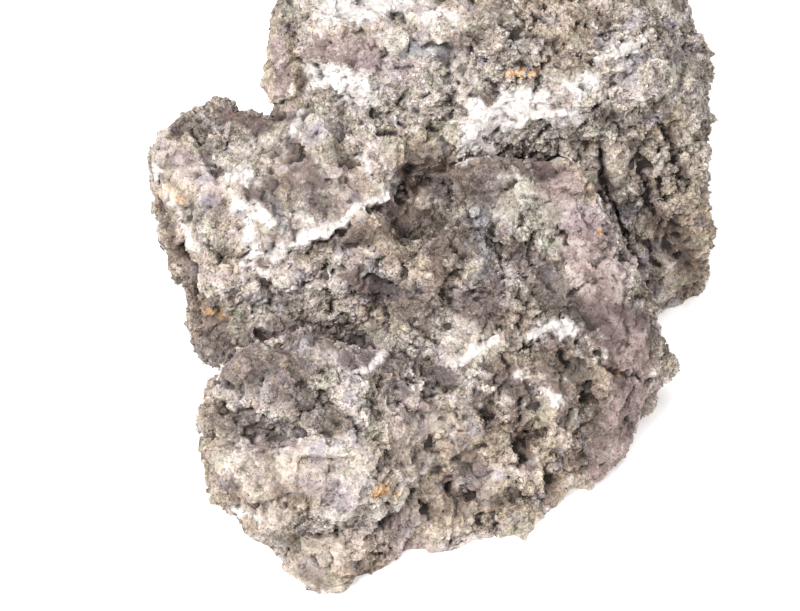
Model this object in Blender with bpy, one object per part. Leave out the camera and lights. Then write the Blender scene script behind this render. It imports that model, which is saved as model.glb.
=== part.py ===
"""A rough aquascaping stone: one natural piece of crumbly, veined breccia.

The stone lies on the ground with its broad face leaning back. Its masses are described on
that face, as (across, up, out): millimetres to the right, up the slope and out of the face,
counted from the middle of the face. Feet and back corners are counted on the ground, from
the point below the middle of the face: (right, back) and (right, back, height).
"""

import math

import bmesh
import bpy
from mathutils import Matrix, Vector, noise

MM = 0.001

# How the broad face lies: how far its outward direction rises above level, and where its middle is.
FACE_RISE = math.radians(55)
FACE_MIDDLE = Vector((-10.5, -24.6, 43.0))

# Feet reach this far below the ground, a slab of this width and depth that cuts the stone off level.
FOOT_DEPTH = 6.0
GROUND_SLAB = (400.0, 60.0)

# Edge lengths of the working meshes, and about how many triangles the finished stone has.
UNION_VOXEL = 2.0
RELIEF_VOXEL = 2.1
TRIANGLES = 11000

# How often the joints between the masses are smoothed, which fills them as dirt and crumbs do.
JOINT_SMOOTHING = 2

# Relief: an even skin taken off, to make room for it, wide swells, then broken lumps with
# flat tops in three sizes, the grooves between the middle ones, and pits.
SKIN = -1.2
SWELL_SPACING, SWELL_HEIGHT = 34.0, 2.2
BLOCK_SPACING, BLOCK_HEIGHT, BLOCK_TILT = 26.0, 1.3, 3.6
LUMP_SPACING, LUMP_HEIGHT, LUMP_TILT = 13.0, 1.4, 2.4
CHIP_SPACING, CHIP_HEIGHT, CHIP_TILT = 7.0, 0.8, 1.2
GROOVE_WIDTH, GROOVE_DEPTH = 0.14, 1.3
PIT_SPACING, PIT_RADIUS, PIT_DEPTH, PIT_SHARE = 13.0, 0.30, 3.2, 0.6

# How far the lumps' outlines wander, and the factors that turn a lump's centre into its own
# level and slope.
WANDER_SCALE, WANDER_REACH = 1.7, 0.35
WANDER_OFFSETS = [Vector((9.3, -1.5, -7.9)), Vector((0.0, 0.0, 0.0)), Vector((3.3, -5.1, 2.7))]
LEVEL_HASH, SLOPE_HASH = 7.3, 5.1

# Where the stone is smoother: stretches on the broad face from one place to another, with a
# reach, and how much of the relief is left there.
CALM_STRETCHES = [
    ((48, 40), (62, 8), 9.0),
    ((62, 8), (70, -26), 10.0),
    ((-48, -46), (-18, -50), 11.0),
    ((8, 58), (52, 68), 6.0),
]
CALM_SHARE = 0.3

STONE_COLOUR = (0.36, 0.31, 0.27, 1.0)

# Each mass is the hull of its corners on the broad face, its back corners and its feet.
MASSES = {
    "core": {
        "face": [
            (-60, 42, -24), (-50, -6, -20), (-15, 48, -12), (2, 26, -17), (22, 50, -14),
            (60, 42, -18), (66, 0, -18), (50, -40, -16), (0, -66, -8), (-30, -40, -4),
            (0, -10, -6), (-20, 4, -9), (30, 20, -6),
        ],
        "feet": [(-50, 10), (-58, 60), (-25, 100), (80, 100), (80, 10), (10, -50)],
    },
    "left_block": {
        "face": [
            (-78, 44, -5), (-76, 50, -9), (-70, 56, -11), (-61, 62, -12), (-53, 62, -12),
            (-42, 59, -13), (-34, 57, -9), (-4, 36, -6), (0, 17, -5), (-3, 2, -6), (-13, -9, -10),
            (-45, -13, -6), (-56, -9, -6), (-59, 17, 0), (-67, 34, -1), (-39, 38, 4), (-30, 20, 4),
            (-18, 35, 1), (-79, 41, -20), (-71, 16, -28), (-65, -2, -26), (-62, -20, -16),
            (-58, -22, -14),
        ],
        "back": [(-68, 66, 40), (-58, 84, 32)],
        "feet": [(-54, 18), (-66, 46), (-58, 78), (-26, 80), (9, 60), (-1, 10)],
    },
    "saddle": {
        "face": [
            (-34, 57, -8), (-22, 60, -2), (0, 58, 0), (14, 50, -3), (3, 38, -8), (-14, 38, 0),
            (-28, 48, -2),
        ],
        "feet": [(-30, 60), (10, 70), (10, 40), (-20, 40)],
    },
    "upper_left_mass": {
        "face": [
            (-42, 76, -8), (-41, 67, -11), (-36, 60, -10), (-40, 88, -9), (-38, 102, -16),
            (-21, 108, -20), (9, 110, -18), (21, 92, -2), (16, 65, 2), (0, 53, -1),
            (-21, 59, -1), (-24, 80, 3), (-3, 83, 5), (-30, 94, -3),
        ],
        "back": [(-34, 98, 52), (-20, 112, 62), (14, 120, 50)],
        "feet": [(-29, 70), (-26, 92), (-8, 106), (30, 112), (40, 60), (10, 40), (-10, 50)],
    },
    "upper_right_mass": {
        "face": [
            (18, 110, -18), (48, 112, -20), (77, 107, -21), (91, 99, -21), (94, 84, -19),
            (93, 66, -18), (88, 55, -17), (60, 50, -7), (42, 56, -2), (15, 50, -3),
            (12, 85, 4), (36, 74, 5), (60, 76, 3), (75, 64, -3), (72, 91, -1), (10, 42, -12),
        ],
        "back": [(40, 122, 58), (78, 112, 66), (97, 92, 56), (99, 70, 40)],
        "feet": [(20, 106), (60, 104), (82, 92), (92, 76), (96, 44), (60, 40), (10, 40)],
    },
    "back_lump": {
        "back": [
            (-44, 86, 12), (-46, 78, 32), (-30, 76, 46), (-22, 104, 40), (-36, 102, 14),
            (4, 120, 18), (16, 118, 38), (34, 112, 30), (30, 122, 10), (0, 90, 56),
        ],
        "feet": [(-38, 80), (-30, 100), (4, 114), (30, 112), (20, 80)],
    },
    "right_wall": {
        "face": [
            (56, 54, -8), (66, 53, -8), (89, 55, -17), (93, 66, -20), (82, 24, -30),
            (90, 12, -38), (76, 2, -36), (60, 10, -30),
        ],
        "feet": [(70, 16), (81, 16), (93, 24), (98, 40), (96, 70), (60, 60)],
    },
    "right_rib": {
        "face": [
            (88, 66, -14), (93, 64, -17), (95, 50, -20), (96, 33, -27), (97, 14, -38),
            (93, 8, -42), (91, 20, -32), (88, 42, -19),
        ],
        "back": [(100, 60, 34), (101, 44, 16)],
        "feet": [(92, 24), (98, 32), (99, 58), (90, 60)],
    },
    "centre_lobe": {
        "face": [
            (16, 41, 1), (19, 46, 1), (30, 47, 4), (46, 46, 4), (56, 34, 3), (64, 17, 1),
            (70, -1, -1), (72, -19, -8), (70, -34, -11), (64, -48, -10), (54, -62, -6),
            (31, -76, -2), (12, -80, 0), (0, -77, 1), (-6, -28, 3), (-6, 6, 0), (0, 18, 0),
            (9, 22, 2), (30, 2, 9), (42, 24, 8), (36, -37, 7), (14, -20, 6),
        ],
        "feet": [(9, -52), (21, -53), (39, -48), (60, -34), (74, -18), (84, 8), (84, 40), (9, 40)],
    },
    "purple_slab": {
        "face": [
            (44, 47, 4), (50, 47, 6), (60, 33, 5), (69, 17, 3), (73, -4, 1), (77, -10, -4),
            (79, -20, -10), (77, -32, -13), (74, -40, -13), (67, -50, -11), (61, -58, -10),
            (48, 36, 9), (50, 18, 10), (56, 0, 8), (60, -28, 3), (58, -46, -3), (70, -20, 0),
        ],
        "feet": [(70, -24), (80, -8), (86, 10), (78, 30), (50, 30), (50, -20)],
    },
    "knob_top": {
        "face": [
            (-58, -25, 0), (-58, -35, 2), (-55, -38, 14), (-55, -21, 9), (-47, -13, 14),
            (-29, -8, 16), (-15, -11, 14), (-2, -13, 10), (10, -25, 7), (12, -37, 6),
            (-8, -34, 26), (-26, -31, 28), (-50, -34, 22), (-36, -20, 24),
        ],
        "feet": [(-51, -20), (-49, 6), (9, 10), (12, -40), (-40, -46)],
    },
    "knob_face": {
        "face": [
            (-55, -42, 27), (-58, -50, 16), (-55, -59, 26), (-38, -66, 33), (-12, -58, 32),
            (-7, -40, 29), (-28, -38, 34), (-32, -46, 37), (-30, -58, 38), (-59, -42, 6),
            (9, -40, 6), (8, -54, 5),
        ],
        "feet": [(-49, -22), (-47, -42), (-22, -48), (6, -46), (9, -20)],
    },
    "knob_chip": {
        "face": [
            (-53, -57, 22), (-51, -63, 23), (-45, -67, 27), (-37, -68, 30), (-35, -62, 34),
            (-46, -58, 32), (-44, -60, 8),
        ],
        "feet": [(-40, -38)],
    },
    "knob_foot": {
        "face": [
            (-57, -52, 2), (-49, -70, 3), (-40, -76, 5), (-31, -85, 4), (-18, -91, 4),
            (-6, -84, 4), (0, -74, 3), (8, -56, 5), (-12, -62, 18), (-36, -68, 12), (-50, -64, 10),
        ],
        "feet": [(-9, -63), (3, -59), (9, -52), (-25, -59), (-41, -50), (-51, -24), (6, -10)],
    },
}

# Cavities, folds and cracks that go in from the broad face, each the hull of its corners there.
CAVITIES = {
    "main_cavity": [
        (-7, 42, 14), (6, 47, 14), (20, 43, 14), (21, 28, 14), (14, 17, 14), (1, 13, 14),
        (-8, 17, 14), (-10, 30, 14), (-4, 38, -15), (8, 42, -16), (15, 34, -16), (11, 22, -15),
        (2, 18, -12), (-4, 22, -12),
    ],
    "gap_above_centre": [
        (20, 50, 12), (52, 50, 12), (20, 45, 12), (52, 44, 12), (26, 47, -10), (48, 46, -10),
    ],
    "fold_behind_knob": [
        (-47, -3, 20), (-13, -4, 20), (-47, -9, 20), (-13, -12, 20), (-42, -7, -11), (-18, -9, -11),
    ],
    "knob_crevice": [
        (-62, -30, 42), (-62, -37, 42), (-29, -35, 44), (-29, -38, 44), (-58, -33, 14),
        (-58, -34, 14), (-36, -36, 24),
    ],
    "upper_wall_hole": [
        (73, 44, 0), (81, 46, 0), (84, 34, 0), (76, 29, 0), (76, 40, -36), (80, 34, -36),
    ],
    "lower_wall_hole": [
        (76, 25, -8), (84, 27, -8), (86, 14, -8), (79, 11, -8), (80, 22, -46), (82, 16, -46),
    ],
    "lower_crack": [
        (34, -28, 16), (38, -28, 16), (38, -49, 14), (33, -50, 14), (36, -31, -3), (36, -46, -4),
    ],
}

# Hollows under the stone, so that it stands on its rim: centre on the ground, radii and depth.
UNDERSIDE_HOLLOWS = [
    ((-8, 8), (34, 26), 5.0),
    ((38, 30), (26, 34), 4.0),
    ((-18, -42), (20, 13), 3.5),
]


def face_point(across, up, out):
    """A point given on the broad face, in millimetres of the stone's own frame."""
    rise_sin, rise_cos = math.sin(FACE_RISE), math.cos(FACE_RISE)
    return FACE_MIDDLE + Vector(
        (across, up * rise_sin - out * rise_cos, up * rise_cos + out * rise_sin)
    )


def ground_point(right, back, height):
    """A point given from the ground below the middle of the face."""
    return Vector((FACE_MIDDLE.x + right, FACE_MIDDLE.y + back, height))


def new_object(name, bm):
    mesh = bpy.data.meshes.new(name)
    bm.to_mesh(mesh)
    bm.free()
    obj = bpy.data.objects.new(name, mesh)
    bpy.context.scene.collection.objects.link(obj)
    return obj


def settled(obj):
    """Replaces an object's mesh by what its modifiers make of it, and clears them."""
    bpy.context.view_layer.update()
    graph = bpy.context.evaluated_depsgraph_get()
    mesh = bpy.data.meshes.new_from_object(obj.evaluated_get(graph))
    obj.modifiers.clear()
    obj.data = mesh
    return obj


def hull_object(name, corners):
    bm = bmesh.new()
    for corner in corners:
        bm.verts.new(corner * MM)
    hull = bmesh.ops.convex_hull(bm, input=bm.verts)
    inside = [item for item in hull["geom_interior"] if isinstance(item, bmesh.types.BMVert)]
    bmesh.ops.delete(bm, geom=inside, context="VERTS")
    bmesh.ops.recalc_face_normals(bm, faces=bm.faces)
    return new_object(name, bm)


def mass_object(name, mass):
    corners = [face_point(*corner) for corner in mass.get("face", [])]
    corners += [ground_point(*corner) for corner in mass.get("back", [])]
    corners += [ground_point(right, back, -FOOT_DEPTH) for right, back in mass["feet"]]
    return hull_object(name, corners)


def cavity_object(name, corners):
    return hull_object(name, [face_point(*corner) for corner in corners])


def combine(base, others, operation):
    """Joins other solids to the base, or cuts them out of it, and removes them."""
    for other in others:
        boolean = base.modifiers.new(operation.lower(), "BOOLEAN")
        boolean.operation = operation
        boolean.object = other
    settled(base)
    for other in others:
        bpy.data.objects.remove(other)
    return base


def remeshed(obj, voxel):
    remesh = obj.modifiers.new("remesh", "REMESH")
    remesh.mode = "VOXEL"
    remesh.voxel_size = voxel * MM
    return settled(obj)


def smoothed(obj, times):
    smooth = obj.modifiers.new("smooth", "SMOOTH")
    smooth.factor = 0.5
    smooth.iterations = times
    return settled(obj)


def wandering(place):
    """The place moved a little, so that the lumps' outlines aren't straight."""
    steps = [noise.noise(place * WANDER_SCALE + offset) for offset in WANDER_OFFSETS]
    return place + WANDER_REACH * Vector(steps)


def broken_lumps(point, spacing, height, tilt):
    """Height of a field of broken lumps, each with its own level and its own sloping flat top."""
    place = wandering(point / spacing)
    distances, centres = noise.voronoi(place)
    level = noise.cell(centres[0] * LEVEL_HASH)
    slope = noise.cell_vector(centres[0] * SLOPE_HASH) * 2.0 - Vector((1.0, 1.0, 1.0))
    edge = distances[1] - distances[0]
    return height * level + tilt * slope.dot(place - centres[0]), edge


def pit_depth(point):
    distances, centres = noise.voronoi(point / PIT_SPACING)
    chance = 0.5 + 0.5 * noise.cell(centres[0] * LEVEL_HASH)
    if chance > PIT_SHARE:
        return 0.0
    inward = max(0.0, 1.0 - distances[0] / PIT_RADIUS)
    return PIT_DEPTH * inward * (2.0 - inward)


def face_place(point):
    """Where a point lies on the broad face: across and up, from its middle."""
    offset = point - FACE_MIDDLE
    up = offset.y * math.sin(FACE_RISE) + offset.z * math.cos(FACE_RISE)
    return Vector((offset.x, up))


def distance_to_stretch(place, start, end):
    along = end - start
    reached = (place - start).dot(along) / along.length_squared
    return (place - start - along * min(1.0, max(0.0, reached))).length


def roughness_share(point):
    """How much of the relief a place has: all of it, or less on the calm stretches."""
    place = face_place(point)
    rough = 1.0
    for start, end, reach in CALM_STRETCHES:
        distance = distance_to_stretch(place, Vector(start), Vector(end))
        rough = min(rough, max(0.0, 2.0 * distance / reach - 1.0))
    return CALM_SHARE + (1.0 - CALM_SHARE) * rough


def relief(point):
    """How far the rough surface stands out at a point, in millimetres."""
    place = point - FACE_MIDDLE
    swell = SWELL_HEIGHT * noise.fractal(place / SWELL_SPACING, 1.0, 2.0, 3)
    block, _ = broken_lumps(place, BLOCK_SPACING, BLOCK_HEIGHT, BLOCK_TILT)
    lump, lump_edge = broken_lumps(place, LUMP_SPACING, LUMP_HEIGHT, LUMP_TILT)
    chip, _ = broken_lumps(place, CHIP_SPACING, CHIP_HEIGHT, CHIP_TILT)
    groove = GROOVE_DEPTH * max(0.0, 1.0 - lump_edge / GROOVE_WIDTH)
    rough = swell + block + lump + chip - groove - pit_depth(place)
    return SKIN + roughness_share(point) * rough


def roughened(obj):
    """Moves each point of the surface out or in along its normal by the relief there."""
    mesh = obj.data
    normals = [vertex.normal.copy() for vertex in mesh.vertices]
    for vertex, normal in zip(mesh.vertices, normals):
        vertex.co += normal * (relief(vertex.co / MM) * MM)
    mesh.update()
    return obj


def hollow_cutter(number, centre, radii, depth):
    bm = bmesh.new()
    bmesh.ops.create_icosphere(bm, subdivisions=3, radius=1.0)
    for vertex in bm.verts:
        vertex.co *= 1.0 + 0.18 * noise.noise(vertex.co * 1.5 + Vector((number, 0, 0)))
    place = Matrix.Translation(ground_point(*centre, 0.0) * MM)
    size = Matrix.Diagonal(Vector((radii[0], radii[1], depth)) * MM).to_4x4()
    bmesh.ops.transform(bm, matrix=place @ size, verts=bm.verts)
    return new_object(f"hollow_{number}", bm)


def thinned(obj, triangles):
    """Keeps about this many triangles, the ones that hold the form best."""
    decimate = obj.modifiers.new("decimate", "DECIMATE")
    decimate.ratio = triangles / (2 * len(obj.data.polygons))
    return settled(obj)


def ground_cutter():
    """The ground, a slab with its top at zero, which cuts the stone off level."""
    width, depth = GROUND_SLAB
    bm = bmesh.new()
    bmesh.ops.create_cube(bm, size=1.0)
    place = Matrix.Translation(Vector((0, 0, -depth / 2)) * MM)
    size = Matrix.Diagonal(Vector((width, width, depth)) * MM).to_4x4()
    bmesh.ops.transform(bm, matrix=place @ size, verts=bm.verts)
    return new_object("ground", bm)


def triangulated(obj):
    bm = bmesh.new()
    bm.from_mesh(obj.data)
    bmesh.ops.triangulate(bm, faces=bm.faces)
    bm.to_mesh(obj.data)
    bm.free()
    return obj


def stone_material():
    material = bpy.data.materials.new("stone")
    material.use_nodes = True
    shader = material.node_tree.nodes["Principled BSDF"]
    shader.inputs["Base Color"].default_value = STONE_COLOUR
    shader.inputs["Roughness"].default_value = 0.9
    shader.inputs["Metallic"].default_value = 0.0
    return material


def build_stone():
    for obj in list(bpy.data.objects):
        bpy.data.objects.remove(obj)
    first, *others = [mass_object(name, mass) for name, mass in MASSES.items()]
    stone = combine(first, others, "UNION")
    cavities = [cavity_object(name, corners) for name, corners in CAVITIES.items()]
    combine(stone, cavities, "DIFFERENCE")
    smoothed(remeshed(stone, UNION_VOXEL), JOINT_SMOOTHING)
    remeshed(roughened(stone), RELIEF_VOXEL)
    thinned(stone, TRIANGLES)
    cutters = [hollow_cutter(n, *hollow) for n, hollow in enumerate(UNDERSIDE_HOLLOWS)]
    triangulated(combine(stone, cutters + [ground_cutter()], "DIFFERENCE"))
    stone.name = "rock"
    stone.data.name = "rock"
    stone.data.materials.clear()
    stone.data.materials.append(stone_material())
    return stone


build_stone()
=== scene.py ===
"""The look of a rough aquascaping stone: crumbly grey-brown breccia with white calcite veins,
smooth mauve skins and loose crumbs on it.

The fine surface replaces the plain solid. It is the solid, made finer and broken up into
lumps, grooves and pits, with crumbs and grains of four sizes sitting on it. What lies where
on the stone's broad face is named by strokes, in pixels of the 800 x 611 photograph, which
are thrown onto the stone from the camera. The sides and the back follow noise instead.
"""
import math

import bmesh
import bpy
import numpy as np
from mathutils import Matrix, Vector, noise


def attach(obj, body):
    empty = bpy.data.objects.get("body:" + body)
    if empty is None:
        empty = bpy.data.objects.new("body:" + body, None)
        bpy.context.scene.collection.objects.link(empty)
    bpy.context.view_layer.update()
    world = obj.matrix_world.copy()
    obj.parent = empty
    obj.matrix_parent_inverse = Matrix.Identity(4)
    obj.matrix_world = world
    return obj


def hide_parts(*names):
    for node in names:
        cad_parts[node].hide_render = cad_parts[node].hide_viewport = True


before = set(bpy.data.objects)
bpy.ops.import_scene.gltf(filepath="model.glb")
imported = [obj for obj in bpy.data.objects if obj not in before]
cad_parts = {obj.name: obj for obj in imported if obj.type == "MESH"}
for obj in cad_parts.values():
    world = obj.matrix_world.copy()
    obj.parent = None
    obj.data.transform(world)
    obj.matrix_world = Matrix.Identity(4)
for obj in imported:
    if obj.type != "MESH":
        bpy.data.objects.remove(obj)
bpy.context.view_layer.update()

MM = 0.001

# The broad face, as the solid has it: its rise and its middle in millimetres. The camera
# looks straight at it from this far, and one pixel of the photograph is this wide there.
FACE_RISE = math.radians(55)
FACE_MIDDLE = Vector((-10.5, -24.6, 43.0))
VIEW_DISTANCE = 700.0
PIXEL = 0.3
PHOTO_MIDDLE = (400.0, 305.5)
LENS, SENSOR = 105.0, 36.0

# The body's mesh, how far its surface is moved out before the relief goes on, what stays
# flat near the floor, in millimetres, and the least angle between faces that shows an edge.
BODY_VOXEL = 0.75
BODY_TRIANGLES = 196000
FACET_SMOOTHING = 7
BODY_SKIN = 0.35
FLAT_BELOW = 0.5
CREASE_ANGLE = math.radians(24)

# Relief of the body in millimetres: how far apart the lumps of one size are, how high their
# levels and their tilts are, and what share of them a calm stretch takes away.
LUMPS = [(9.0, 0.80, 1.7, 0.35), (4.2, 0.65, 1.3, 0.55), (2.1, 0.42, 0.75, 0.75)]

# The lumps' places wander, and hashes of their middles give them their levels and slopes.
WANDER_SCALE, WANDER_REACH = 0.16, 1.0
WANDER_OFFSETS = [Vector((9.3, -1.5, -7.9)), Vector((0.0, 0.0, 0.0)), Vector((3.3, -5.1, 2.7))]
LEVEL_HASH, SLOPE_HASH = 7.3, 5.1

# Grooves between the lumps, which are this share of a lump wide and break off in places.
GROOVE_WIDTH, GROOVE_DEPTH, GROOVE_SPACING = 0.13, 1.3, 7.0
GRIT_SPACING, GRIT_HEIGHT = 1.3, 0.30
HOLE_SPACING, HOLE_DEPTH, HOLE_LEVEL = 2.6, 3.2, 0.42
CALCITE_THICKNESS = 0.12

# Crumbs: name, how many, least and greatest size in millimetres, corners of a crumb, how
# far it stands out of the surface, and the seed of its own random draws.
CRUMBS = [
    ("crumbs", 2400, 1.6, 3.8, 10, 0.05, 11),
    ("small_crumbs", 11000, 0.9, 1.7, 8, 0.10, 12),
    ("grains", 24000, 0.5, 1.0, 6, 0.15, 13),
    ("fine_grains", 32000, 0.35, 0.6, 5, 0.20, 14),
]
CRUMB_SHAPES = 24
NO_CRUMBS_BELOW = 1.5

# What a crumb takes over from the body's surface under it.
CARRIED = (
    "calcite", "mauve", "green", "blue", "orange", "earth", "pale", "lilac", "dark", "hollow",
)

# How strokes wander off their lines: noise spacing and reach in millimetres, coarse to fine,
# and the shift of the noise for each axis.
STROKE_WANDER = [(9.0, 2.2), (3.0, 1.3), (1.6, 0.7)]
STROKE_SHIFTS = (7.0, 20.0, 33.0)

# How noise frays the calcite's edges: its spacing in millimetres and its share of the score.
CALCITE_RAGGED = [(9.0, 0.30), (3.2, 0.42), (1.5, 0.20)]
CALCITE_SHIFT = 29.0

# Noise fields over the stone: how far apart their lumps are in millimetres, and a shift that
# keeps each field from repeating another.
NOISE_OCTAVES = 2
VEIN_SHEETS = (42.0, 5.0)
VEIN_PATCHES = (24.0, 19.0)
WIDE_PATCHES = (30.0, 41.0)
SMALL_PATCHES = (7.0, 67.0)
LIGHT_PATCHES = (11.0, 97.0)
CALM_STRETCHES = (20.0, 53.0)
CRUMB_CLUSTERS = (16.0, 83.0)

# How calm the smoother stretches get that noise puts between the crumbly ones.
CALM_MOST = 0.7

# How far around a point its hollow or ridge is judged, in rounds of smoothing.
HOLLOW_ROUNDS = 26

# Strokes on the photograph: a reach in pixels, then the points that the stroke runs through.
CALCITE_STROKES = [
    (18, (338, 4), (356, 8), (392, -2), (415, -14)),
    (4, (306, 60), (316, 68)),
    (13, (322, 76), (340, 84), (364, 92)),
    (11, (474, 114), (500, 106), (535, 98), (575, 86), (594, 82)),
    (12, (470, 130), (500, 126), (530, 116), (570, 108)),
    (5, (462, 156), (470, 142)),
    (4, (425, 20), (440, 12), (456, 16)),
    (4, (596, 62), (620, 52), (645, 36)),
    (9, (246, 212), (252, 236), (256, 254)),
    (6, (232, 205), (256, 210), (268, 226)),
    (4, (258, 262), (270, 270), (276, 262)),
    (3, (244, 262), (240, 288)),
    (5, (266, 256), (286, 246), (312, 234), (340, 222), (362, 208)),
    (2, (300, 240), (330, 234), (352, 220)),
    (4, (362, 204), (378, 196), (394, 186)),
    (4, (360, 158), (372, 174), (384, 190)),
    (3, (232, 176), (250, 172)),
    (2, (158, 170), (172, 196), (186, 226), (200, 256)),
    (4, (308, 112), (300, 122), (292, 134)),
    (4, (456, 360), (476, 348), (494, 342)),
    (6, (534, 336), (552, 332), (568, 330)),
    (3, (518, 370), (526, 374)),
    (3, (548, 392), (558, 402)),
    (3, (342, 374), (362, 370), (378, 360), (390, 346)),
    (2, (430, 456), (418, 478)),
    (4, (238, 512), (268, 518)),
]
CALCITE_GAPS = [
    (5, (485, 97), (490, 97)),
    (7, (558, 95), (564, 97)),
    (5, (528, 125), (534, 126)),
    (6, (236, 222), (239, 223)),
    (3, (265, 257), (268, 258)),
]
MAUVE_STROKES = [
    (20, (326, 44), (344, 54), (366, 54)),
    (8, (280, 40), (278, 66), (284, 88)),
    (9, (222, 120), (258, 120)),
    (10, (540, 160), (556, 182)),
    (22, (556, 192), (570, 218)),
    (26, (578, 235), (598, 270), (602, 300)),
    (26, (606, 320), (628, 345), (632, 380)),
    (20, (630, 400), (616, 440), (604, 470)),
    (12, (352, 270), (384, 286)),
]
GREEN_STROKES = [
    (9, (437, 124), (440, 142)),
    (14, (530, 300), (552, 322)),
    (10, (576, 364), (584, 382)),
    (22, (515, 200), (545, 228)),
    (8, (512, 520), (528, 520)),
]
BLUE_STROKES = [
    (10, (478, 212), (488, 240), (484, 270)),
    (8, (272, 202), (282, 228)),
    (5, (238, 210), (242, 216)),
    (10, (374, 264), (388, 292)),
    (8, (408, 48), (452, 54)),
]
ORANGE_STROKES = [
    (6, (378, 490), (386, 492)),
    (3, (402, 324), (406, 327)),
    (2, (604, 369), (618, 371)),
    (3, (597, 230), (600, 233)),
    (2, (506, 76), (556, 64)),
    (4, (212, 308), (224, 318)),
    (4, (167, 187), (178, 198)),
]
EARTH_STROKES = [
    (17, (166, 205), (186, 262), (206, 325)),
    (8, (314, 20), (324, 34), (352, 30), (390, 20)),
    (34, (450, 440), (540, 440)),
    (20, (300, 556), (420, 548)),
    (26, (470, 510), (540, 500)),
    (14, (220, 510), (240, 530)),
    (10, (562, 172), (594, 200)),
    (6, (602, 369), (622, 372)),
    (12, (520, 360), (505, 345)),
    (14, (406, 214), (436, 228)),
    (20, (300, 566), (350, 572)),
]
# Pale patches: partly the stone's pale crumbs, partly painted light where the knob's foot and flank
# and the stone's left edge show brightly lit.
PALE_AND_LIT_STROKES = [
    (12, (226, 186), (256, 186)),
    (9, (296, 226), (350, 212)),
    (9, (364, 164), (390, 190)),
    (6, (338, 260), (370, 262)),
    (10, (164, 156), (184, 172)),
    (26, (250, 458), (350, 466)),
    (10, (240, 506), (270, 512)),
    (9, (388, 262), (402, 276)),
    (8, (478, 222), (486, 230)),
    (5, (432, 392), (436, 420)),
    (14, (356, 8), (424, 0)),
    (16, (470, 118), (600, 92)),
    (9, (604, 262), (614, 290)),
    (8, (500, 196), (510, 216)),
    (7, (459, 20), (462, 96)),
    (18, (306, 168), (342, 190)),
    (18, (232, 284), (320, 276)),
    (18, (340, 520), (390, 520)),
    (26, (400, 474), (412, 404)),
    (26, (300, 560), (400, 510)),
    (16, (242, 212), (262, 262)),
    (14, (266, 252), (312, 228), (350, 214), (392, 190)),
    (7, (158, 170), (172, 196), (186, 226), (200, 256)),
    (6, (342, 404), (368, 416)),
    (5, (347, 442), (364, 458)),
    (8, (452, 360), (494, 340), (526, 350)),
    (8, (516, 368), (560, 400)),
    (4, (496, 466), (486, 500), (474, 534)),
    (8, (404, 446), (432, 440)),
    (5, (560, 238), (582, 244), (590, 262)),
    (5, (572, 270), (590, 292)),
    (5, (574, 208), (592, 216)),
]
LILAC_STROKES = [
    (12, (164, 150), (184, 166)),
    (12, (196, 166), (212, 196)),
    (8, (304, 192), (342, 168)),
    (8, (380, 206), (394, 214)),
    (8, (256, 396), (284, 400)),
    (12, (322, 352), (372, 356)),
    (9, (300, 480), (350, 500)),
    (8, (256, 440), (290, 448)),
    (10, (398, 410), (424, 428)),
    (10, (396, 550), (448, 548)),
    (12, (570, 214), (598, 224)),
    (9, (462, 290), (500, 306)),
    (12, (365, 60), (410, 70)),
]
# Dark patches: partly the stone's dark purple-brown, partly painted shade in its cavities and folds
# and on its shaded left side and right wall.
DARK_AND_SHADE_STROKES = [
    (22, (424, 170), (484, 188)),
    (22, (398, 220), (460, 238)),
    (18, (570, 304), (600, 334)),
    (12, (596, 400), (584, 460)),
    (12, (460, 450), (478, 470)),
    (12, (462, 170), (496, 168)),
    (28, (222, 358), (290, 376)),
    (14, (300, 406), (340, 424)),
    (14, (496, 244), (540, 262)),
    (24, (542, 290), (586, 320)),
    (24, (556, 354), (584, 410)),
    (16, (500, 370), (524, 396)),
    (16, (452, 300), (490, 316)),
    (14, (492, 156), (548, 168)),
    (10, (436, 256), (452, 296)),
    (4, (602, 166), (614, 206), (630, 246), (648, 296)),
    (7, (164, 204), (190, 280), (210, 340)),
    (10, (604, 116), (622, 130)),
    (16, (366, 286), (420, 308)),
    (12, (352, 356), (396, 366)),
    (12, (420, 366), (448, 380)),
    (13, (275, 330), (350, 336)),
    (8, (225, 424), (270, 430)),
    (14, (206, 320), (232, 350)),
    (9, (268, 114), (284, 120)),
    (14, (216, 116), (262, 124)),
    (14, (654, 216), (684, 254)),
    (9, (636, 150), (650, 206)),
    (5, (666, 130), (682, 180)),
    (7, (624, 254), (642, 268)),
    (7, (598, 152), (604, 182)),
    (4, (600, 188), (602, 204)),
    (4, (606, 224), (614, 242)),
    (4, (563, 226), (567, 236)),
    (4, (618, 268), (626, 290)),
    (6, (642, 330), (650, 352)),
    (5, (610, 356), (618, 380)),
    (8, (472, 98), (502, 96)),
    (12, (288, 152), (318, 180)),
    (10, (302, 244), (362, 236)),
    (8, (440, 482), (458, 500)),
    (6, (470, 157), (520, 158)),
    (12, (622, 312), (652, 326)),
    (10, (478, 404), (490, 424)),
    (9, (516, 400), (528, 462)),
    (9, (548, 300), (572, 330)),
]

# Stretches with a calmer relief: how calm from 0 to 1, a reach in pixels, then the points.
CALM_STROKES = [
    (0.8, 22, (322, 40), (366, 50)),
    (0.7, 40, (250, 470), (340, 466)),
    (0.6, 24, (238, 384), (282, 396)),
    (0.9, 16, (322, 354), (372, 358)),
    (0.6, 24, (404, 404), (412, 470)),
    (0.7, 60, (205, 190), (330, 200), (290, 150)),
    (0.4, 30, (215, 260), (300, 290)),
    (0.8, 22, (560, 205), (600, 290)),
    (0.9, 26, (606, 320), (632, 380), (612, 450)),
]

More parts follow.
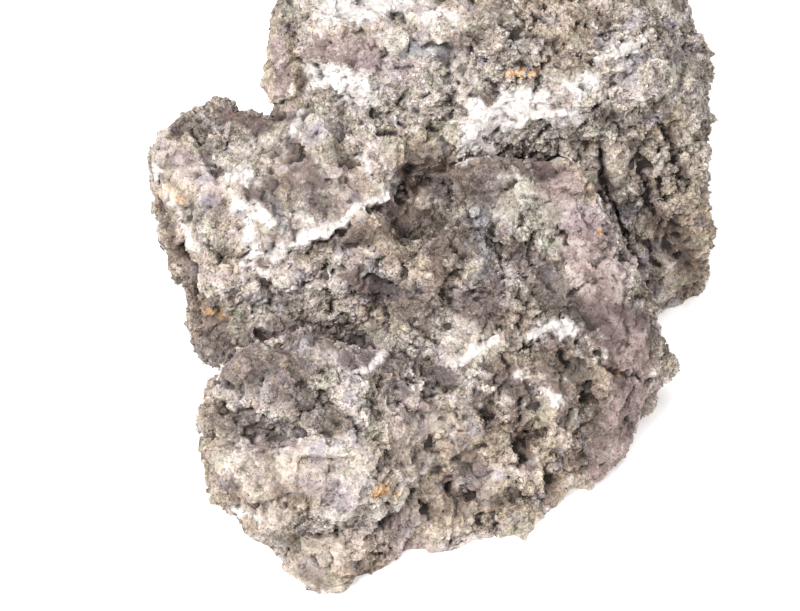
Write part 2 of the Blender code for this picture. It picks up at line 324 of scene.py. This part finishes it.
# Pits and cracks: depth in millimetres, a reach in pixels, then the points.
PIT_STROKES = [
    (3.0, 7, (640, 160), (646, 174)),
    (2.5, 6, (660, 186), (666, 200)),
    (3.0, 7, (672, 220), (676, 236)),
    (2.5, 6, (652, 246), (658, 262)),
    (3.5, 8, (482, 413), (485, 418)),
    (2.5, 4, (519, 400), (524, 430), (526, 464)),
    (2.0, 4, (505, 465), (525, 466)),
    (3.0, 6, (586, 388), (590, 402)),
    (2.5, 5, (446, 483), (449, 486)),
    (2.5, 5, (424, 399), (427, 402)),
    (2.5, 5, (409, 381), (412, 384)),
    (3.0, 8, (260, 337), (276, 340)),
    (2.0, 5, (628, 422), (632, 425)),
    (3.0, 7, (584, 146), (600, 144)),
    (2.5, 10, (400, 196), (420, 186)),
    (3.5, 5, (598, 152), (602, 180)),
    (2.5, 4, (658, 124), (674, 156), (680, 184)),
    (2.5, 4, (640, 150), (648, 190), (650, 214)),
    (3.0, 7, (656, 222), (672, 250)),
    (3.0, 7, (628, 254), (640, 266)),
    (2.5, 4, (600, 166), (612, 204), (628, 244)),
    (2.0, 3, (305, 252), (340, 234), (352, 228)),
    (2.5, 6, (368, 212), (386, 206)),
    (2.0, 4, (196, 128), (206, 140)),
    (2.5, 5, (268, 116), (282, 118)),
    (2.0, 4, (186, 250), (196, 288), (204, 320)),
    (2.5, 4, (224, 404), (266, 416)),
    (2.0, 4, (272, 548), (290, 562)),
    (3.5, 6, (518, 438), (524, 462)),
    (3.0, 6, (478, 410), (483, 420)),
    (3.0, 6, (462, 492), (472, 496)),
    (2.5, 5, (561, 352), (566, 364)),
    (2.0, 3, (594, 352), (604, 366), (640, 378)),
    (2.0, 3, (600, 190), (602, 204)),
    (2.0, 3, (563, 226), (567, 236)),
    (2.5, 4, (536, 14), (543, 20)),
    (2.0, 4, (486, 82), (498, 92)),
    (2.0, 3, (630, 386), (622, 410)),
    (2.5, 4, (424, 504), (430, 516)),
]

# Colours, as linear light. A list gives the colour at each value of a pattern.
CRUMB_COLOURS = [
    (0.0, (0.055, 0.042, 0.036)),
    (0.22, (0.165, 0.132, 0.112)),
    (0.45, (0.320, 0.272, 0.238)),
    (0.66, (0.460, 0.412, 0.372)),
    (0.84, (0.620, 0.580, 0.540)),
    (1.0, (0.800, 0.770, 0.735)),
]
CRUMB_TINTS = [
    (0.0, (1.00, 0.90, 0.86)),
    (0.2, (1.00, 1.00, 1.00)),
    (0.38, (0.95, 1.00, 0.88)),
    (0.5, (1.00, 0.92, 0.96)),
    (0.66, (0.90, 0.94, 1.00)),
    (0.8, (1.00, 0.95, 0.84)),
]
EARTH_COLOURS = [(0.0, (0.100, 0.064, 0.042)), (1.0, (0.500, 0.372, 0.255))]
MAUVE_COLOURS = [
    (0.0, (0.080, 0.054, 0.050)),
    (0.35, (0.200, 0.145, 0.134)),
    (0.62, (0.315, 0.238, 0.222)),
    (1.0, (0.540, 0.445, 0.425)),
]
CALCITE_COLOURS = [
    (0.0, (0.270, 0.222, 0.200)),
    (0.3, (0.410, 0.360, 0.338)),
    (0.6, (0.530, 0.488, 0.466)),
    (1.0, (0.640, 0.605, 0.585)),
]
GREEN = (0.335, 0.355, 0.285)
BLUE = (0.270, 0.290, 0.335)
ORANGE = (0.700, 0.420, 0.210)
# Partly the stone's pale crumbs, partly painted light.
PALE_AND_LIT = (0.640, 0.580, 0.555)
LILAC = (0.440, 0.375, 0.400)
# Partly the stone's dark purple-brown, partly painted shade.
DARK_AND_SHADE = (0.088, 0.062, 0.059)
# The near black of painted shade, laid into the seams between crumbs, small holes and hollows.
PAINTED_SHADE = (0.035, 0.026, 0.022)

# Patches laid over the crumbs' colours: the zone, its colour and how strongly it covers.
# The dark patches are partly painted shade, and the pale ones partly painted light.
PAINTS = [
    ("pale", PALE_AND_LIT, 0.60),
    ("lilac", LILAC, 0.60),
    ("green", GREEN, 0.50),
    ("blue", BLUE, 0.65),
    ("dark", DARK_AND_SHADE, 0.72),
    ("orange", ORANGE, 0.75),
]
TINT_COVER, EARTH_COVER, HAZE_COVER = 0.9, 0.65, 0.5

# Zones' edges: how far a score is from the edge's own level where a zone is full or gone.
PATCH_EDGE, SKIN_EDGE = 0.20, 0.15
HAZE_EDGE, HAZE_LEVEL = 0.30, 0.36
WHITE_EDGE, WHITE_LEVEL = 0.22, 0.58

# The material's patterns. Noise: how far apart its lumps are in millimetres, its detail and
# its roughness. Cells: how large they are in millimetres, and the noise that bends them.
NOISES = {"wide": (7.0, 2.0, 0.6), "middle": (2.0, 3.0, 0.7), "fine": (0.8, 2.0, 0.7)}
CELLS = {"chips": 2.3, "specks": 0.95, "dots": 0.42}
SEAM_CELLS = 1.4
CELL_WARP = (1.2, 0.6)

# Blends of the patterns: the share of each, and what is taken off their sum.
BLENDS = {
    "ragged": ({"middle": 0.65, "fine": 0.45}, 0.55),
    "mottle": ({"wide": 0.55, "middle": 0.80, "fine": 0.70, "specks": 0.22, "dots": 0.26}, 0.80),
    "crumb": (
        {"shade": 0.34, "chips": 0.26, "specks": 0.44, "dots": 0.46, "wide": 0.35, "fine": 0.60},
        0.73,
    ),
    "depth": ({"fine": 0.60, "middle": 0.40}, 0.0),
    "relief": ({"specks": 0.40, "dots": 0.22, "fine": 1.00}, 0.0),
}
BUMP_HEIGHT = 0.4

# Lamps: name, place in metres, width in metres and power in watts.
LAMPS = [
    ("key", (-0.55, -0.40, 0.95), 0.35, 16.0),
    ("top", (0.20, 0.10, 1.20), 0.50, 5.5),
    ("front", (0.45, -0.85, 0.35), 0.40, 3.2),
]
SURROUNDINGS = 0.54
FLOOR_REACH, FLOOR_GLOW = 1.6, 0.25


def photo_places(points):
    """Where points of the stone, in millimetres, show in the photograph."""
    offset = points - np.array(FACE_MIDDLE)
    rise_sin, rise_cos = math.sin(FACE_RISE), math.cos(FACE_RISE)
    out = offset[:, 2] * rise_sin - offset[:, 1] * rise_cos
    up = offset[:, 1] * rise_sin + offset[:, 2] * rise_cos
    scale = PIXEL * (VIEW_DISTANCE - out) / VIEW_DISTANCE
    return np.stack((PHOTO_MIDDLE[0] + offset[:, 0] / scale, PHOTO_MIDDLE[1] - up / scale), axis=1)


def facing_camera(normals):
    """From 0 where the surface looks away from the camera to 1 where it looks towards it."""
    toward = normals[:, 2] * math.sin(FACE_RISE) - normals[:, 1] * math.cos(FACE_RISE)
    return np.clip((toward + 0.1) / 0.3, 0.0, 1.0)


def distance_to_line(places, points):
    """How far places in the photograph are from a line through points, in pixels."""
    nearest = np.full(len(places), np.inf)
    for start, end in zip(points[:-1], points[1:]):
        start, along = np.array(start, float), np.subtract(end, start).astype(float)
        share = np.clip((places - start) @ along / (along @ along), 0.0, 1.0)
        gap = places - start - share[:, None] * along
        nearest = np.minimum(nearest, np.hypot(gap[:, 0], gap[:, 1]))
    return nearest


def stroke_score(places, strokes):
    """1 on a stroke's line, 0.5 at its edge, and 0 at twice its reach."""
    score = np.zeros(len(places))
    for reach, *points in strokes:
        score = np.maximum(score, 1.0 - 0.5 * distance_to_line(places, points) / reach)
    return score


def noise_field(points, spacing, shift):
    """Soft noise over the points, from about -1 to 1."""
    offset = Vector((shift, -shift, shift * 0.7))
    return np.array([
        noise.fractal(Vector(point) / spacing + offset, 1.0, 2.0, NOISE_OCTAVES)
        for point in points
    ])


def vein_score(points):
    """Thin sheets of calcite in the stone, for the sides that the photograph doesn't show."""
    sheet = np.abs(noise_field(points, *VEIN_SHEETS))
    patch = noise_field(points, *VEIN_PATCHES)
    return np.clip(0.78 - 4.2 * sheet + 0.5 * patch, 0.0, 1.0)


def wandered(points):
    """The points moved about by noise, so that what a stroke paints has a ragged outline."""
    moved = points.copy()
    for spacing, reach in STROKE_WANDER:
        for axis, shift in enumerate(STROKE_SHIFTS):
            moved[:, axis] += reach * noise_field(points, spacing, shift)
    return moved


def calcite_zone(points, places, seen):
    """The named veins and patches of calcite, with noise sheets on the sides not seen."""
    score = stroke_score(places, CALCITE_STROKES) - 1.2 * stroke_score(places, CALCITE_GAPS)
    for spacing, share in CALCITE_RAGGED:
        score += share * noise_field(points, spacing, CALCITE_SHIFT)
    return np.clip(score * seen + vein_score(points) * (1.0 - seen), 0.0, 1.0)


def calm_zone(points, places, seen, zones):
    """How smooth the surface is, from 0 where it is all crumbs up to 1."""
    calm = np.clip(1.5 * np.maximum(zones["mauve"], zones["calcite"]) - 0.3, 0.0, 0.85)
    stretches = np.clip(0.4 + 2.0 * noise_field(points, *CALM_STRETCHES), 0.0, 1.0)
    calm = np.maximum(calm, CALM_MOST * stretches)
    for share, *stroke in CALM_STROKES:
        inside = np.clip(3.0 * stroke_score(places, [stroke]) - 1.0, 0.0, 1.0)
        calm = np.maximum(calm, share * inside * seen)
    return calm


def surface_zones(points, normals):
    """Scores of each kind of surface at the points: 0.5 is the edge of a zone."""
    places = photo_places(wandered(points))
    seen = facing_camera(normals)
    patches = noise_field(points, *WIDE_PATCHES)
    specks = noise_field(points, *SMALL_PATCHES)
    lights = noise_field(points, *LIGHT_PATCHES)
    calcite = calcite_zone(points, places, seen)
    mauve = stroke_score(places, MAUVE_STROKES) * seen
    mauve += np.clip(0.35 + 0.9 * patches, 0.0, 1.0) * (1.0 - seen)
    free = 1.0 - 0.8 * np.clip(2.0 * mauve - 0.5, 0.0, 1.0)
    patchy = {
        "green": (GREEN_STROKES, (0.30 + 0.55 * specks) * free),
        "blue": (BLUE_STROKES, (0.24 - 0.50 * specks) * free),
        "orange": (ORANGE_STROKES, 0.50 * specks - 0.05),
        "earth": (EARTH_STROKES, (0.42 - 0.60 * patches) * free),
        "pale": (PALE_AND_LIT_STROKES, (0.25 + 0.70 * lights) * free),
        "lilac": (LILAC_STROKES, (0.20 - 0.60 * specks) * free),
        "dark": (DARK_AND_SHADE_STROKES, (0.25 - 0.70 * lights) * free),
    }
    zones = {"calcite": calcite, "mauve": np.clip(mauve - 0.6 * calcite, 0.0, 1.0)}
    for name, (strokes, patch) in patchy.items():
        zones[name] = np.clip(np.maximum(stroke_score(places, strokes) * seen, patch), 0.0, 1.0)
    zones["calm"] = calm_zone(points, places, seen, zones)
    return zones


def pits(points, normals):
    """How deep the named pits and cracks go at the points, in millimetres."""
    places = photo_places(wandered(points))
    depth = np.zeros(len(points))
    for deepest, reach, *line in PIT_STROKES:
        inward = np.clip(1.0 - distance_to_line(places, line) / reach, 0.0, 1.0)
        depth = np.maximum(depth, deepest * inward * (2.0 - inward))
    return depth * facing_camera(normals)


def broken_lumps(place, spacing, height, tilt):
    """Height at a place on a field of lumps, how far in it is from its lump's edge, and
    the lump's level."""
    place = place / spacing
    distances, centres = noise.voronoi(place)
    level = noise.cell(centres[0] * LEVEL_HASH)
    slope = noise.cell_vector(centres[0] * SLOPE_HASH) * 2.0 - Vector((1.0, 1.0, 1.0))
    raised = height * level + tilt * slope.dot(place - centres[0])
    return raised, distances[1] - distances[0], level


def rubble(point, calm):
    """Height of the broken surface at a point, in millimetres, and its shade from -1 to 1."""
    place = Vector(point)
    wander = Vector([noise.noise(place * WANDER_SCALE + offset) for offset in WANDER_OFFSETS])
    place += WANDER_REACH * wander
    broken = max(0.0, 0.6 + 1.5 * noise.noise(place / GROOVE_SPACING))
    groove = GROOVE_DEPTH * (1.0 - calm) ** 2 * broken
    height, shade = 0.0, 0.0
    for number, (spacing, level, tilt, calming) in enumerate(LUMPS):
        lump, edge, lump_level = broken_lumps(place, spacing, level, tilt)
        height += lump * (1.0 - calming * calm)
        height -= groove * max(0.0, 1.0 - edge / GROOVE_WIDTH) / (number + 1)
        shade += lump_level / len(LUMPS)
    grit = GRIT_HEIGHT * noise.fractal(place / GRIT_SPACING, 0.8, 2.0, 2) * (1.0 - 0.4 * calm)
    hole = HOLE_DEPTH * max(0.0, noise.noise(place / HOLE_SPACING) - HOLE_LEVEL) * (1.0 - calm)
    return height + grit - hole, shade


def mesh_arrays(mesh):
    """Places in millimetres and normals of a mesh's points."""
    places = np.empty(len(mesh.vertices) * 3, np.float32)
    mesh.vertices.foreach_get("co", places)
    normals = np.empty(len(mesh.vertices) * 3, np.float32)
    mesh.vertices.foreach_get("normal", normals)
    return places.reshape(-1, 3).astype(float) / MM, normals.reshape(-1, 3).astype(float)


def place_points(mesh, points):
    """Puts a mesh's points at places in millimetres, with none of them under the floor."""
    points[:, 2] = np.maximum(points[:, 2], 0.0)
    mesh.vertices.foreach_set("co", (points * MM).astype(np.float32).ravel())
    mesh.update()


def settled(obj):
    """Replaces an object's mesh by what its modifiers make of it, and clears them."""
    bpy.context.view_layer.update()
    graph = bpy.context.evaluated_depsgraph_get()
    mesh = bpy.data.meshes.new_from_object(obj.evaluated_get(graph))
    obj.modifiers.clear()
    obj.data = mesh
    return obj


def finer_copy(node):
    """The solid again, in small even faces with its facets smoothed away."""
    body = bpy.data.objects.new("stone_body", node.data.copy())
    bpy.context.scene.collection.objects.link(body)
    remesh = body.modifiers.new("finer", "REMESH")
    remesh.mode = "VOXEL"
    remesh.voxel_size = BODY_VOXEL * MM
    smooth = body.modifiers.new("smooth", "SMOOTH")
    smooth.factor = 0.5
    smooth.iterations = FACET_SMOOTHING
    return settled(body)


def store(mesh, name, values):
    """Keeps a value for each of a mesh's points under a name."""
    layer = mesh.attributes.new(name, "FLOAT", "POINT")
    layer.data.foreach_set("value", np.asarray(values, np.float32))


def read(mesh, name):
    """The values that a mesh's points have under a name."""
    values = np.empty(len(mesh.vertices), np.float32)
    mesh.attributes[name].data.foreach_get("value", values)
    return values


def hollows(body):
    """How far each point lies below its surroundings, in millimetres, below 0 on a ridge."""
    points, normals = mesh_arrays(body.data)
    smooth = body.modifiers.new("smooth", "SMOOTH")
    smooth.factor = 0.7
    smooth.iterations = HOLLOW_ROUNDS
    bpy.context.view_layer.update()
    evened = body.evaluated_get(bpy.context.evaluated_depsgraph_get()).to_mesh()
    even_points, even_normals = mesh_arrays(evened)
    depth = ((even_points - points) * even_normals).sum(axis=1)
    body.modifiers.clear()
    return depth


def make_body():
    """The stone's own surface, with its relief and its zones."""
    body = finer_copy(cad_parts["rock"])
    points, normals = mesh_arrays(body.data)
    zones = surface_zones(points, normals)
    broken = [rubble(point, calm) for point, calm in zip(points - FACE_MIDDLE, zones["calm"])]
    heights, shades = np.array(broken).T
    raised = CALCITE_THICKNESS * np.clip(4.0 * zones["calcite"] - 1.6, 0.0, 1.0)
    moved = BODY_SKIN + heights + raised - pits(points, normals)
    moved[points[:, 2] < FLAT_BELOW] = 0.0
    place_points(body.data, points + normals * moved[:, None])
    zones["shade"] = 0.5 + 0.5 * shades
    for name, score in zones.items():
        store(body.data, name, score)
    decimate = body.modifiers.new("thin", "DECIMATE")
    decimate.ratio = BODY_TRIANGLES / (2.0 * len(body.data.polygons))
    settled(body)
    place_points(body.data, mesh_arrays(body.data)[0])
    # How deep each point lies in its hollow: the material paints shade into hollows and highlight
    # onto ridges from it.
    store(body.data, "hollow", hollows(body))
    body.data.shade_smooth()
    body.data.set_sharp_from_angle(angle=CREASE_ANGLE)
    return body


def crumb_shape(corners, draws):
    """An angular fragment about 1 across: the hull of a few points near a ball."""
    bm = bmesh.new()
    for corner in draws.normal(size=(corners, 3)):
        bm.verts.new(Vector(corner).normalized() * draws.uniform(0.38, 0.55))
    hull = bmesh.ops.convex_hull(bm, input=bm.verts)
    inside = [item for item in hull["geom_interior"] if isinstance(item, bmesh.types.BMVert)]
    bmesh.ops.delete(bm, geom=inside, context="VERTS")
    bmesh.ops.recalc_face_normals(bm, faces=bm.faces)
    bm.verts.index_update()
    places = np.array([tuple(vert.co) for vert in bm.verts])
    faces = np.array([[vert.index for vert in face.verts] for face in bm.faces])
    bm.free()
    return places, faces


def spots_on(mesh, count, draws):
    """Random places on the body, more of them where it is crumbly, and none at its foot,
    with the normal and the nearby point of each."""
    points, _ = mesh_arrays(mesh)
    mesh.calc_loop_triangles()
    corners = np.empty(len(mesh.loop_triangles) * 3, np.int32)
    mesh.loop_triangles.foreach_get("vertices", corners)
    corners = corners.reshape(-1, 3)
    a, b, c = (points[corners[:, number]] for number in range(3))
    across = np.cross(b - a, c - a)
    area = np.linalg.norm(across, axis=1)
    calm = read(mesh, "calm")[corners].mean(axis=1)
    cluster = np.clip(0.9 + 1.1 * noise_field(a, *CRUMB_CLUSTERS), 0.15, 2.0)
    weight = area * cluster * (1.0 - 0.93 * calm) * (a[:, 2] > NO_CRUMBS_BELOW)
    steps = np.cumsum(weight)
    chosen = np.searchsorted(steps, draws.uniform(0.0, steps[-1], count))
    share = draws.dirichlet((1.0, 1.0, 1.0), count)
    where = share[:, :1] * a[chosen] + share[:, 1:2] * b[chosen] + share[:, 2:] * c[chosen]
    normal = across[chosen] / np.maximum(area[chosen], 1e-9)[:, None]
    return where, normal, corners[chosen, 0]


def random_turns(count, draws):
    """Rotation matrices in every direction, from random unit quaternions."""
    turns = draws.normal(size=(count, 4))
    w, x, y, z = (turns / np.linalg.norm(turns, axis=1)[:, None]).T
    return np.stack([
        1 - 2 * (y * y + z * z), 2 * (x * y - z * w), 2 * (x * z + y * w),
        2 * (x * y + z * w), 1 - 2 * (x * x + z * z), 2 * (y * z - x * w),
        2 * (x * z - y * w), 2 * (y * z + x * w), 1 - 2 * (x * x + y * y),
    ], axis=1).reshape(-1, 3, 3)


def triangle_mesh(name, places, faces):
    """A mesh of triangles with its corners at places in millimetres."""
    mesh = bpy.data.meshes.new(name)
    mesh.vertices.add(len(places))
    mesh.vertices.foreach_set("co", (places * MM).astype(np.float32).ravel())
    mesh.loops.add(faces.size)
    mesh.loops.foreach_set("vertex_index", faces.ravel().astype(np.int32))
    mesh.polygons.add(len(faces))
    mesh.polygons.foreach_set("loop_start", np.arange(0, faces.size, 3, dtype=np.int32))
    mesh.update()
    mesh.validate()
    return mesh


def make_crumbs(body, name, count, least, greatest, corners, stand, seed):
    """Many angular fragments sunk into the body's surface, joined in one mesh."""
    draws = np.random.default_rng(seed)
    shapes = [crumb_shape(corners, draws) for _ in range(CRUMB_SHAPES)]
    where, normal, source = spots_on(body.data, count, draws)
    size = least * (greatest / least) ** draws.uniform(0.0, 1.0, count) ** 1.6
    stretch = draws.uniform(0.65, 1.25, (count, 3)) * size[:, None]
    turns = random_turns(count, draws)
    kind = draws.integers(0, CRUMB_SHAPES, count)
    centre = where + normal * (stand * size)[:, None]
    places, faces, owner, start = [], [], [], 0
    for number in np.flatnonzero(centre[:, 2] > 0.75 * size):
        shape, sides = shapes[kind[number]]
        places.append((shape * stretch[number]) @ turns[number].T + centre[number])
        faces.append(sides + start)
        owner.append(np.full(len(shape), number))
        start += len(shape)
    owner = np.concatenate(owner)
    mesh = triangle_mesh(name, np.concatenate(places), np.concatenate(faces))
    for zone in CARRIED:
        store(mesh, zone, read(body.data, zone)[source][owner])
    store(mesh, "shade", draws.uniform(0.1, 1.0, count)[owner])
    crumbs = bpy.data.objects.new(name, mesh)
    bpy.context.scene.collection.objects.link(crumbs)
    return crumbs


class Graph:
    """A short way to write down a material's nodes."""

    def __init__(self, material):
        material.use_nodes = True
        self.tree = material.node_tree
        self.shader = self.tree.nodes["Principled BSDF"]
        self.place = self.tree.nodes.new("ShaderNodeTexCoord").outputs["Object"]
        self.warped = self.warp(*CELL_WARP)

    def node(self, kind, inputs, output=0, **settings):
        """One output of a new node with its inputs linked to sockets or set to values."""
        node = self.tree.nodes.new(kind)
        for key, value in settings.items():
            setattr(node, key, value)
        for key, value in inputs.items():
            if isinstance(value, bpy.types.NodeSocket):
                self.tree.links.new(value, node.inputs[key])
            elif isinstance(value, tuple):
                node.inputs[key].default_value = (*value, 1.0)
            else:
                node.inputs[key].default_value = value
        return node.outputs[output]

    def math(self, operation, first, second):
        return self.node("ShaderNodeMath", {0: first, 1: second}, operation=operation)

    def attribute(self, name):
        return self.node("ShaderNodeAttribute", {}, output="Fac", attribute_name=name)

    def noise(self, spacing, detail, roughness):
        """Noise from 0 to 1 with its lumps about this far apart, in millimetres."""
        inputs = {"Scale": 1.0 / (spacing * MM), "Detail": detail, "Roughness": roughness}
        return self.node("ShaderNodeTexNoise", {"Vector": self.place, **inputs})

    def warp(self, spacing, reach):
        """Places that noise moves about, so that cells on them have uneven outlines."""
        inputs = {"Vector": self.place, "Scale": 1.0 / (spacing * MM)}
        moves = self.node("ShaderNodeTexNoise", inputs, output="Color")
        inputs = {0: moves, 1: [reach * MM] * 3, 2: self.place}
        return self.node("ShaderNodeVectorMath", inputs, operation="MULTIPLY_ADD")

    def cells(self, spacing):
        """A value of its own for each cell of about this size, from 0 to 1."""
        inputs = {"Vector": self.warped, "Scale": 1.0 / (spacing * MM)}
        return self.node("ShaderNodeTexVoronoi", inputs, output="Color")

    def cell_edges(self, spacing):
        """How far in from the edge of its cell a place is, in shares of the cell's size."""
        inputs = {"Vector": self.warped, "Scale": 1.0 / (spacing * MM)}
        feature = "DISTANCE_TO_EDGE"
        return self.node("ShaderNodeTexVoronoi", inputs, output="Distance", feature=feature)

    def blend(self, patterns, shares, taken_off):
        """The sum of the named patterns, each times its share, less a constant."""
        total = -taken_off
        for name, share in shares.items():
            inputs = {0: patterns[name], 1: share, 2: total}
            total = self.node("ShaderNodeMath", inputs, operation="MULTIPLY_ADD")
        return total

    def range(self, value, low, high, to_low=0.0, to_high=1.0):
        """A value eased from between the first two limits to between the last two."""
        inputs = {"From Min": low, "From Max": high, "To Min": to_low, "To Max": to_high}
        inputs["Value"] = value
        return self.node("ShaderNodeMapRange", inputs, interpolation_type="SMOOTHSTEP")

    def ramp(self, value, stops):
        """The colour that a list of colours has at a value."""
        node = self.tree.nodes.new("ShaderNodeValToRGB")
        while len(node.color_ramp.elements) < len(stops):
            node.color_ramp.elements.new(0.5)
        for element, (position, colour) in zip(node.color_ramp.elements, stops):
            element.position = position
            element.color = (*colour, 1.0)
        self.tree.links.new(value, node.inputs["Fac"])
        return node.outputs["Color"]

    def mix(self, share, first, second, blend="MIX"):
        """Two colours mixed, which the node keeps in its inputs 6 and 7 and its output 2."""
        inputs = {0: share, 6: first, 7: second}
        return self.node("ShaderNodeMix", inputs, output=2, data_type="RGBA", blend_type=blend)


def zone_mask(graph, patterns, name, edge, level=0.5):
    """A zone's score with ragged edges, from 0 outside the zone to 1 inside it."""
    score = graph.math("ADD", graph.attribute(name), patterns["ragged"])
    return graph.range(score, level - edge, level + edge)


def stone_patterns(graph):
    """The patterns that every kind of surface takes its colours and its bumps from."""
    patterns = {name: graph.noise(*settings) for name, settings in NOISES.items()}
    patterns.update({name: graph.cells(spacing) for name, spacing in CELLS.items()})
    patterns["shade"] = graph.attribute("shade")
    for name, (shares, taken_off) in BLENDS.items():
        patterns[name] = graph.blend(patterns, shares, taken_off)
    return patterns


def ground_colour(graph, patterns):
    """Crumbs in many shades and tints, with brown earth and mauve skins over them."""
    crumb = patterns["crumb"]
    tint = graph.ramp(patterns["chips"], CRUMB_TINTS)
    colour = graph.mix(TINT_COVER, graph.ramp(crumb, CRUMB_COLOURS), tint, "MULTIPLY")
    earthy = zone_mask(graph, patterns, "earth", PATCH_EDGE)
    earthy = graph.math("MULTIPLY", earthy, EARTH_COVER)
    colour = graph.mix(earthy, colour, graph.ramp(crumb, EARTH_COLOURS))
    skin = graph.ramp(patterns["mottle"], MAUVE_COLOURS)
    return graph.mix(zone_mask(graph, patterns, "mauve", SKIN_EDGE), colour, skin)


def painted_colour(graph, patterns, colour):
    """The patches of PAINTS laid over a colour, with its grain showing through."""
    # The dark patches are partly painted shade, and the pale ones partly painted light.
    for zone, paint, share in PAINTS:
        tinted = graph.mix(0.5, paint, graph.mix(1.0, colour, paint, "OVERLAY"))
        cover = graph.math("MULTIPLY", zone_mask(graph, patterns, zone, PATCH_EDGE), share)
        colour = graph.mix(cover, colour, tinted)
    return colour


def shade_painted_in_cracks(graph, patterns, colour):
    """Painted shade in seams between crumbs here and there, fewer where the surface is calm, and
    painted shade of small holes.
    """
    crumbly = graph.range(graph.attribute("calm"), 0.0, 0.8, 0.85, 0.30)
    loose = graph.math("MULTIPLY", graph.range(patterns["middle"], 0.47, 0.57), crumbly)
    # Painted shade in the seams between crumbs.
    edges = graph.range(graph.cell_edges(SEAM_CELLS), 0.12, 0.0)
    colour = graph.mix(graph.math("MULTIPLY", edges, loose), colour, PAINTED_SHADE)
    # Painted shade of small holes, where the depth pattern is low.
    return graph.mix(graph.range(patterns["depth"], 0.42, 0.33, 0.0, 0.85), colour, PAINTED_SHADE)


def painted_shade_and_highlight(graph, colour):
    """Painted highlight on ridges, and painted shade in hollows."""
    hollow = graph.attribute("hollow")
    ridge_highlight = graph.mix(1.0, colour, colour, "SCREEN")
    colour = graph.mix(graph.range(hollow, -0.1, -0.8, 0.0, 0.4), colour, ridge_highlight)
    return graph.mix(graph.range(hollow, 0.12, 1.15, 0.0, 0.90), colour, PAINTED_SHADE)


def stone_material(name):
    """Crumbs in many shades, veined with calcite, with mauve skins and coloured patches."""
    material = bpy.data.materials.new(name)
    graph = Graph(material)
    patterns = stone_patterns(graph)
    colour = ground_colour(graph, patterns)
    colour = painted_colour(graph, patterns, colour)
    colour = shade_painted_in_cracks(graph, patterns, colour)
    calcite = graph.ramp(graph.math("ADD", patterns["mottle"], 0.2), CALCITE_COLOURS)
    haze = zone_mask(graph, patterns, "calcite", HAZE_EDGE, HAZE_LEVEL)
    white = zone_mask(graph, patterns, "calcite", WHITE_EDGE, WHITE_LEVEL)
    colour = graph.mix(graph.math("MULTIPLY", haze, HAZE_COVER), colour, calcite)
    colour = painted_shade_and_highlight(graph, graph.mix(white, colour, calcite))
    strength = graph.range(white, 0.0, 1.0, 0.95, 0.35)
    inputs = {"Strength": strength, "Distance": BUMP_HEIGHT * MM, "Height": patterns["relief"]}
    bump = graph.node("ShaderNodeBump", inputs)
    roughness = graph.range(white, 0.0, 1.0, 0.92, 0.62)
    graph.tree.links.new(colour, graph.shader.inputs["Base Color"])
    graph.tree.links.new(bump, graph.shader.inputs["Normal"])
    graph.tree.links.new(roughness, graph.shader.inputs["Roughness"])
    graph.shader.inputs["Specular IOR Level"].default_value = 0.35
    return material


def make_floor():
    """A wide pale floor that glows a little, so that it shows almost white."""
    mesh = bpy.data.meshes.new("floor")
    corners = [(x * FLOOR_REACH, y * FLOOR_REACH, 0) for x, y in ((-1, -1), (1, -1), (1, 1), (-1, 1))]
    mesh.from_pydata(corners, [], [(0, 1, 2, 3)])
    floor = bpy.data.objects.new("floor", mesh)
    bpy.context.scene.collection.objects.link(floor)
    material = bpy.data.materials.new("floor")
    material.use_nodes = True
    shader = material.node_tree.nodes["Principled BSDF"]
    shader.inputs["Base Color"].default_value = (0.92, 0.92, 0.92, 1.0)
    shader.inputs["Roughness"].default_value = 0.9
    shader.inputs["Emission Color"].default_value = (1.0, 0.99, 0.98, 1.0)
    shader.inputs["Emission Strength"].default_value = FLOOR_GLOW
    mesh.materials.append(material)


def make_lights():
    """Bright even surroundings, a large soft lamp above to the left, and two weaker ones."""
    world = bpy.data.worlds.new("surroundings")
    bpy.context.scene.world = world
    world.use_nodes = True
    background = world.node_tree.nodes["Background"]
    background.inputs["Color"].default_value = (1.0, 1.0, 1.0, 1.0)
    background.inputs["Strength"].default_value = SURROUNDINGS
    for name, place, width, power in LAMPS:
        add_lamp(name, Vector(place), width, power)


def add_lamp(name, place, width, power):
    """A square lamp that shines at the middle of the stone's foot."""
    data = bpy.data.lights.new(name, "AREA")
    data.shape = "SQUARE"
    data.size = width
    data.energy = power
    lamp = bpy.data.objects.new(name, data)
    lamp.location = place
    lamp.rotation_euler = (-place).to_track_quat("-Z", "Y").to_euler()
    bpy.context.scene.collection.objects.link(lamp)


def make_camera():
    """The camera, which looks straight at the stone's broad face."""
    data = bpy.data.cameras.new("camera")
    data.lens = LENS
    data.sensor_width = SENSOR
    data.clip_start = 0.01
    camera = bpy.data.objects.new("camera", data)
    outward = Vector((0.0, -math.cos(FACE_RISE), math.sin(FACE_RISE)))
    camera.location = (FACE_MIDDLE + outward * VIEW_DISTANCE) * MM
    camera.rotation_euler = (-outward).to_track_quat("-Z", "Y").to_euler()
    bpy.context.scene.collection.objects.link(camera)
    bpy.context.scene.camera = camera
    bpy.context.scene.view_settings.view_transform = "Standard"


def dress(piece, material):
    """Gives a piece its material, and its place in the frame."""
    piece.data.materials.clear()
    piece.data.materials.append(material)
    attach(piece, "root")


make_camera()
make_lights()
make_floor()
stone = stone_material("stone")
stone_body = make_body()
for settings in CRUMBS:
    dress(make_crumbs(stone_body, *settings), stone)
dress(stone_body, stone)
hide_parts("rock")
